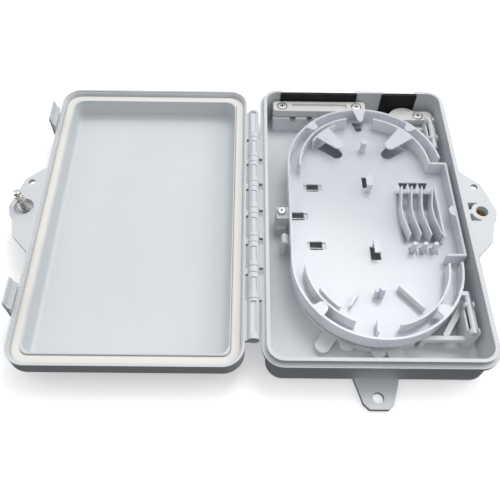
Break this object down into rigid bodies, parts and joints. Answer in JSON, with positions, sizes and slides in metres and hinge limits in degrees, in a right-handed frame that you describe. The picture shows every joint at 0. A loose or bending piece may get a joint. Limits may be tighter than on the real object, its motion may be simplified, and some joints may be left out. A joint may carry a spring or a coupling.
{
  "type": "fiber termination box",
  "caption": "Wall-mounted fiber termination box with a hinged gasketed lid, snap latches, captive lock bolt, swing-up splice tray, cable clamp and rubber cable seals.",
  "frame": {"origin": "centre of the housing's back face, which lies on the wall", "axes": "+Z out of the wall, +Y to the cable-entry end, +X to the lock-lug side; the lid is stored open flat towards -X"},
  "size_m": [0.3756, 0.295, 0.048],
  "materials": {
    "shell_plastic": "fine textured light grey moulding",
    "tray_plastic": "satin white moulding",
    "clamp_plastic": "satin white moulding",
    "gasket_foam": "soft ivory sealing strip",
    "seal_rubber": "matt black rubber",
    "plated_steel": "nickel plated",
    "brass": "turned"
  },
  "bodies": {
    "base": {"base_shell": "shell_plastic", "brass_insert": "brass", "hinge_pin": "plated_steel", "cable_seal_wide": "seal_rubber", "cable_seal_narrow": "seal_rubber", "clamp_block": "shell_plastic", "clamp_bar": "clamp_plastic", "clamp_screws": "plated_steel", "saddle_seat": "shell_plastic", "cable_saddle": "clamp_plastic", "saddle_screw": "plated_steel", "tray_bracket_upper": "clamp_plastic", "tray_bracket_lower": "clamp_plastic", "slack_spool": "clamp_plastic"},
    "lid": {"lid_shell": "shell_plastic", "lid_gasket": "gasket_foam"},
    "upper_blade": {"latch_upper": "shell_plastic"},
    "lower_blade": {"latch_lower": "shell_plastic"},
    "bolt_clip": {"bolt_retainer": "plated_steel"},
    "bolt": {"lock_bolt": "plated_steel"},
    "tray": {"splice_tray": "tray_plastic", "splice_holder": "tray_plastic", "tray_screw": "plated_steel"},
    "tray_catch": {"tray_latch": "clamp_plastic"}
  },
  "joints": [
    {"name": "lid_hinge", "type": "hinge", "parent": "base", "child": "lid", "pos_m": [-0.0858, 0, 0.03], "axis": [0, -1, 0], "range_deg": [-180, 0]},
    {"name": "upper_blade_flex", "type": "hinge", "parent": "lid", "child": "upper_blade", "pos_m": [-0.254, 0.0895, 0.02675], "axis": [0, -1, 0], "range_deg": [0, 10], "stiffness_Nm_per_rad": 0.3},
    {"name": "lower_blade_flex", "type": "hinge", "parent": "lid", "child": "lower_blade", "pos_m": [-0.254, -0.0805, 0.02675], "axis": [0, -1, 0], "range_deg": [0, 10], "stiffness_Nm_per_rad": 0.3},
    {"name": "bolt_slide", "type": "slide", "parent": "lid", "child": "bolt_clip", "axis": [0, 0, 1], "range_m": [-0.012, 0]},
    {"name": "bolt_spin", "type": "hinge", "parent": "bolt_clip", "child": "bolt", "pos_m": [-0.2621, 0, 0.03], "axis": [0, 0, 1], "continuous": true},
    {"name": "tray_hinge", "type": "hinge", "parent": "base", "child": "tray", "pos_m": [0.0665, 0, 0.025], "axis": [0, 1, 0], "range_deg": [0, 95]},
    {"name": "tray_catch_flex", "type": "hinge", "parent": "base", "child": "tray_catch", "pos_m": [-0.0643, -0.021, 0.0025], "axis": [0, -1, 0], "range_deg": [0, 8], "stiffness_Nm_per_rad": 0.3}
  ]
}
